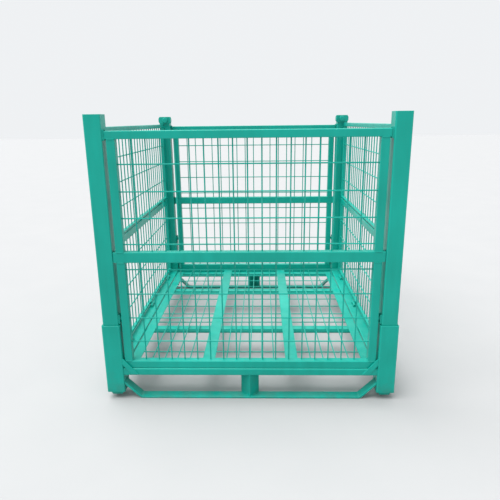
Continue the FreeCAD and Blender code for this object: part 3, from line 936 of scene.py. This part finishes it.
@dataclass
class CageFloor:
    """Floor of the cage: flat strips and mesh in three bays."""

    strip_inner: float = 0.142
    edge_inner: float = 0.446
    wire_pitch: float = 0.05
    bearer_places: tuple[float, ...] = (-0.569, -0.255, 0.255, 0.569)

    def build(self) -> None:
        """Builds the strips and the mesh."""
        self._strips("floor_strip_bars", "floor_strips", self.strip_inner)
        self._strips("floor_edge_bars", "floor_edge_strips", self.edge_inner)
        self._mesh(Box.of_node("floor_strips").high.x)

    def _strips(self, name: str, node: str, inner: float) -> None:
        """Pair of flat strips with their short welds to the bearers.

        Args:
            name: Name of the piece.
            node: The node that it stands for.
            inner: Inner edge of the strips, from the middle of the cage.
        """
        box = Box.of_node(node)
        piece = Workpiece(name)
        for side in Side:
            edges = (side.value * inner, side.value * box.high.x)
            strip = Box.between(edges, (box.low.y, box.high.y), (box.low.z, box.high.z))
            piece.block(strip, 0.0008)
            for place in self.bearer_places:
                reach = (max(place - 0.014, box.low.y), min(place + 0.014, box.high.y))
                for x in edges:
                    piece.bead(Vector((x, reach[0], box.low.z)),
                               Vector((x, reach[1], box.low.z)), 0.002)
        piece.finish("base", FLOOR_PAINT, node)

    def _mesh(self, strip_outer: float) -> None:
        """Welded mesh in three bays.

        Args:
            strip_outer: Outer edge of the wide strips, from the middle of the cage.
        """
        box = Box.of_node("floor_mesh")
        piece = Workpiece("floor_wires")
        reach = (box.low.y, box.high.y)
        for low, high in ((-self.edge_inner, -strip_outer), (-self.strip_inner, self.strip_inner),
                          (strip_outer, self.edge_inner)):
            WireSheet().lay(
                piece, Axis.Z, box.middle.z, {Axis.X: (low, high), Axis.Y: reach},
                {Axis.X: spaced(low, high, self.wire_pitch),
                 Axis.Y: spaced(*reach, 2 * self.wire_pitch)})
        piece.finish("base", WIRE_PAINT, "floor_mesh")


@dataclass
class SideWall:
    """Wall that folds in two: a lower and an upper framed mesh panel."""

    side: Side
    stile: float = 0.02
    tube_wall: float = 0.002
    tube_radius: float = 0.003
    wire_pitch: float = 0.05
    lower_rails: tuple[float, float] = (0.014, 0.032)
    upper_rails: tuple[float, float] = (0.01, 0.02)

    def build(self) -> None:
        """Builds both panels and their meshes."""
        for level, rails in (("lower", self.lower_rails), ("upper", self.upper_rails)):
            box = Box.of_node(f"{self.side.word}_{level}_frame")
            window = (box.low.z + rails[0], box.high.z - rails[1])
            self._frame(level, box, window)
            self._mesh(level, box, window)

    def _frame(self, level: str, box: Box, window: tuple[float, float]) -> None:
        """Two full-length rails with stiles butted between them, and the corner welds.

        Args:
            level: Name of the panel, lower or upper.
            box: Outside of the panel.
            window: Heights between which the mesh stands.
        """
        name = f"{self.side.word}_{level}"
        piece = Workpiece(f"{name}_wall_tubes")
        low, high = box.low, box.high
        x = (low.x, high.x)
        for z in ((low.z, window[0]), (window[1], high.z)):
            rail = Box.between(x, (low.y, high.y), z)
            piece.tube(rail, Axis.Y, self.tube_wall, self.tube_radius)
        for end in End:
            outer = end.value * high.y
            inner = outer - end.value * self.stile
            y = sorted((outer, inner))
            piece.tube(Box.between(x, y, window), Axis.Z, self.tube_wall, self.tube_radius)
            for z in window:
                for face in x:
                    piece.bead(Vector((face, y[0] + 0.002, z)),
                               Vector((face, y[1] - 0.002, z)), 0.002)
                piece.bead(Vector((x[0] + 0.003, inner, z)),
                           Vector((x[1] - 0.003, inner, z)), 0.002)
        piece.finish(f"{name}_wall", WALL_PAINT, f"{name}_frame")

    def _mesh(self, level: str, box: Box, window: tuple[float, float]) -> None:
        """Welded mesh inside the frame.

        Args:
            level: Name of the panel, lower or upper.
            box: Outside of the panel.
            window: Heights between which the mesh stands.
        """
        name = f"{self.side.word}_{level}"
        along = (box.low.y + self.stile, box.high.y - self.stile)
        piece = Workpiece(f"{name}_wires")
        WireSheet().lay(piece, Axis.X, box.middle.x, {Axis.Y: along, Axis.Z: window},
                        {Axis.Y: spaced(*along, self.wire_pitch),
                         Axis.Z: spaced(*window, 2 * self.wire_pitch)})
        piece.finish(f"{name}_wall", WIRE_PAINT, f"{name}_mesh")


@dataclass
class LiftGate:
    """Lift-off gate: three rails, four stile pieces, two mesh fields and its studs."""

    end: End
    wall: float = 0.002
    radius: float = 0.003
    bottom_rail: float = 0.03
    middle_rail: tuple[float, float] = (0.556, 0.596)
    top_rail: float = 0.028
    rail_half: float = 0.488
    cap: float = 0.003
    stile: tuple[float, float] = (0.453, 0.483)
    wire_pitch: float = 0.05
    stud_radius: float = 0.007
    stud_tip: float = 0.4935
    stud_heights: tuple[float, float] = (0.332, 1.011)

    def build(self) -> None:
        """Builds frame, meshes and studs."""
        name = self.end.word
        box = Box.of_node(f"{name}_gate_frame")
        y = (box.low.y, box.high.y)
        bottom = (box.low.z, box.low.z + self.bottom_rail)
        top = (box.high.z - self.top_rail, box.high.z)
        piece = Workpiece(f"{name}_gate_tubes")
        for z, half in ((bottom, self.rail_half), (self.middle_rail, box.high.x),
                        (top, self.rail_half - self.cap)):
            piece.tube(Box.between((-half, half), y, z), Axis.X, self.wall, self.radius)
        fields = ((bottom[1], self.middle_rail[0]), (self.middle_rail[1], top[0]))
        for side in Side:
            x = sorted(side.value * edge for edge in self.stile)
            for z in fields:
                piece.tube(Box.between(x, y, z), Axis.Z, self.wall, self.radius)
                for level in z:
                    for face in y:
                        piece.bead(Vector((x[0] + 0.002, face, level)),
                                   Vector((x[1] - 0.002, face, level)))
                    inner = side.value * self.stile[0]
                    outer = side.value * self.stile[1]
                    for edge in (inner, outer):
                        piece.bead(Vector((edge, y[0] + 0.003, level)),
                                   Vector((edge, y[1] - 0.003, level)), 0.002)
        piece.finish(f"{name}_gate", GATE_PAINT, f"{name}_gate_frame")
        self._mesh(box, fields)
        self._studs(box, top)

    def _mesh(self, box: Box, fields: Sequence[tuple[float, float]]) -> None:
        """Welded mesh in both fields.

        Args:
            box: Outside of the gate's frame.
            fields: Heights between which each mesh stands.
        """
        name = self.end.word
        across = (-self.stile[0], self.stile[0])
        piece = Workpiece(f"{name}_gate_wires")
        for z in fields:
            WireSheet().lay(piece, Axis.Y, box.middle.y, {Axis.X: across, Axis.Z: z},
                            {Axis.X: spaced(*across, self.wire_pitch), Axis.Z: rungs(*z)})
        piece.finish(f"{name}_gate", WIRE_PAINT, f"{name}_gate_mesh")

    def _studs(self, box: Box, top: tuple[float, float]) -> None:
        """Round studs on the stiles and on the top rail's end caps.

        Args:
            box: Outside of the gate's frame.
            top: Bottom and top of the top rail.
        """
        name = self.end.word
        piece = Workpiece(f"{name}_gate_stud_pins")
        y = box.middle.y
        for side in Side:
            s = side.value
            roots = (self.stile[1], self.rail_half)
            for z, root in zip(self.stud_heights, roots):
                piece.rod(Vector((s * root, y, z)), Vector((s * self.stud_tip, y, z)),
                          self.stud_radius, 24, 0.0012, 2)
            cap = Box.between((s * (self.rail_half - self.cap), s * self.rail_half),
                              (box.low.y, box.high.y), top)
            piece.block(cap)
        piece.finish(f"{name}_gate", FITTING_PAINT, f"{name}_gate_studs")


@dataclass
class CornerPost:
    """Post that stands in a sleeve, with the bars that keep the gate's studs."""

    side: Side
    end: End
    wall: float = 0.003
    radius: float = 0.005
    bar: float = 0.005
    heights: tuple[tuple[float, float], ...] = ((0.314, 0.35), (0.992, 1.03))

    def build(self) -> None:
        """Builds the post and its keeper bars."""
        corner = f"{self.end.word}_{self.side.word}"
        box = Box.of_node(f"post_{corner}")
        piece = Workpiece(f"corner_post_{corner}")
        piece.tube(box, Axis.Z, self.wall, self.radius)
        piece.finish(f"{corner}_post", POST_PAINT, f"post_{corner}")
        bars = Box.of_node(f"gate_keepers_{corner}")
        piece = Workpiece(f"keeper_bars_{corner}")
        face = bars.low.x if self.side is Side.LEFT else bars.high.x
        x = (bars.low.x, bars.high.x)
        for z in self.heights:
            for y in ((bars.low.y, bars.low.y + self.bar), (bars.high.y - self.bar, bars.high.y)):
                piece.block(Box.between(x, y, z), 0.0008)
                for edge in y:
                    piece.bead(Vector((face, edge, z[0] + 0.003)),
                               Vector((face, edge, z[1] - 0.003)), 0.0016)
        piece.finish(f"{corner}_post", POST_PAINT, f"gate_keepers_{corner}")


@dataclass
class TurnLatch:
    """Turning latch on a back post: rounded plate with a lip, on a round-headed bolt."""

    side: Side
    plate_thick: float = 0.006
    lip_thick: float = 0.006
    lip_half: float = 0.009
    corner: float = 0.014
    head_radius: float = 0.015
    head_thick: float = 0.007
    washer_radius: float = 0.011
    washer_thick: float = 0.001
    shank_radius: float = 0.006

    def build(self) -> None:
        """Builds the latch and its bolt."""
        name = self.side.word
        box = Box.of_node(f"turn_latch_{name}")
        face = box.high.y - self.plate_thick
        piece = Workpiece(f"latch_plate_{name}")
        outline = [(box.low.x, box.low.z), (box.high.x, box.low.z), (box.high.x, box.high.z),
                   (box.low.x, box.high.z)]
        piece.plate(outline, Axis.Y, (face, box.high.y), 0.001, self.corner, 2)
        inner = box.high.x if self.side is Side.LEFT else box.low.x
        root = inner + self.side.value * self.lip_thick
        z = box.middle.z
        lip_z = (z - self.lip_half, z + self.lip_half)
        piece.block(Box.between((inner, root), (box.low.y, face), lip_z), 0.001, 2)
        piece.bead(Vector((root, face, lip_z[0] + 0.002)), Vector((root, face, lip_z[1] - 0.002)))
        piece.finish(f"{name}_latch", FITTING_PAINT, f"turn_latch_{name}")
        self._bolt(name, z)

    def _bolt(self, name: str, z: float) -> None:
        """Washer, shank and domed head on the post.

        Args:
            name: Name of the side.
            z: Height of the bolt.
        """
        bolt = Box.of_node(f"latch_bolt_{name}")
        x = bolt.middle.x
        post_side, tip = bolt.high.y, bolt.low.y
        piece = Workpiece(f"latch_bolt_head_{name}")
        piece.rod(Vector((x, post_side, z)), Vector((x, tip + 0.002, z)), self.shank_radius, 24)
        piece.rod(Vector((x, tip + self.head_thick, z)), Vector((x, tip, z)),
                  self.head_radius, 32, 0.003, 4)
        piece.rod(Vector((x, post_side, z)), Vector((x, post_side - self.washer_thick, z)),
                  self.washer_radius, 32, 0.0003)
        piece.finish(f"back_{name}_post", FITTING_PAINT, f"latch_bolt_{name}")


@dataclass
class CarriedNodes:
    """Nodes whose shape is kept as it is and only painted."""

    nodes: dict[str, bpy.types.Object]
    slots: dict[str, str]

    def paint(self) -> None:
        """Gives every shown node the finish of its slot."""
        for name, node in self.nodes.items():
            if node.hide_render:
                continue
            finish = FINISHES[self.slots[name]]
            for slot in node.material_slots:
                slot.material = finish.material()
            LOG.info("%s: painted as %s", name, finish.slot)


@dataclass
class Studio:
    """Pale floor, soft light and the camera."""

    eye: tuple[float, float, float] = (0.0489, -2.2989, 1.0535)
    turn_deg: float = 1.484
    tilt_deg: float = 15.259
    roll_deg: float = -0.612
    lens: float = 34.14
    sensor: float = 36.0
    floor_size: float = 60.0
    floor_dark: tuple[float, float, float, float] = (0.37, 0.374, 0.378, 1.0)
    floor_light: tuple[float, float, float, float] = (0.395, 0.396, 0.397, 1.0)
    floor_roughness: float = 0.9
    sun_energy: float = 4.6
    sun_spread_deg: float = 62.0
    sun_turn_deg: tuple[float, float, float] = (3.0, -20.0, 0.0)
    sky: tuple[float, float, float, float] = (0.96, 0.98, 1.0, 1.0)
    sky_strength: float = 0.9

    def build(self) -> None:
        """Builds floor, lights, surroundings and camera."""
        self._floor()
        self._lights()
        self._surroundings()
        self._camera()

    def _floor(self) -> None:
        """Large pale floor with a faint mottle."""
        shape = bmesh.new()
        bmesh.ops.create_grid(shape, x_segments=1, y_segments=1, size=self.floor_size / 2)
        mesh = bpy.data.meshes.new("studio_floor")
        shape.to_mesh(mesh)
        shape.free()
        floor = bpy.data.objects.new("studio_floor", mesh)
        bpy.context.scene.collection.objects.link(floor)
        made = bpy.data.materials.new("studio_floor")
        made.use_nodes = True
        kit = NodeKit(made.node_tree)
        place = kit.add("TexCoord").outputs["Object"]
        cloud = kit.add("TexNoise", {"Vector": place, "Scale": 3.0, "Detail": 4.0}).outputs[0]
        colour = kit.mix(cloud, self.floor_dark, self.floor_light)
        shader = made.node_tree.nodes["Principled BSDF"]
        made.node_tree.links.new(colour, shader.inputs["Base Color"])
        shader.inputs["Roughness"].default_value = self.floor_roughness
        mesh.materials.append(made)

    def _lights(self) -> None:
        """One very broad soft light from above and a little from the left."""
        light = bpy.data.lights.new("overhead", "SUN")
        light.energy = self.sun_energy
        light.angle = math.radians(self.sun_spread_deg)
        lamp = bpy.data.objects.new("overhead", light)
        lamp.rotation_euler = tuple(math.radians(turn) for turn in self.sun_turn_deg)
        bpy.context.scene.collection.objects.link(lamp)

    def _surroundings(self) -> None:
        """Even pale surroundings."""
        world = bpy.data.worlds.new("studio")
        world.use_nodes = True
        shade = world.node_tree.nodes["Background"]
        shade.inputs["Color"].default_value = self.sky
        shade.inputs["Strength"].default_value = self.sky_strength
        scene = bpy.context.scene
        scene.world = world
        scene.view_settings.view_transform = "Standard"

    def _camera(self) -> None:
        """Camera in front of the cage, a little above its middle."""
        lens = bpy.data.cameras.new("view")
        lens.lens = self.lens
        lens.sensor_width = self.sensor
        lens.clip_end = 200.0
        camera = bpy.data.objects.new("view", lens)
        turn = Matrix.Rotation(math.radians(self.turn_deg), 4, "Z")
        tilt = Matrix.Rotation(math.radians(90.0 - self.tilt_deg), 4, "X")
        roll = Matrix.Rotation(math.radians(self.roll_deg), 4, "Z")
        camera.matrix_world = Matrix.Translation(self.eye) @ turn @ tilt @ roll
        bpy.context.scene.collection.objects.link(camera)
        bpy.context.scene.camera = camera


def main() -> None:
    """Builds the cage piece by piece around the frame, then the studio."""
    logging.basicConfig(level=logging.INFO, format="%(message)s")
    BaseFrame().build()
    CageFloor().build()
    for side in Side:
        SideWall(side).build()
    for end in End:
        LiftGate(end).build()
        for side in Side:
            CornerPost(side, end).build()
    for side in Side:
        TurnLatch(side).build()
    slots = {part["node"]: part["material_slot"] for part in frame["record"]["subparts"]}
    CarriedNodes(frame["nodes"], slots).paint()
    Studio().build()


if __name__ == "__main__":
    main()
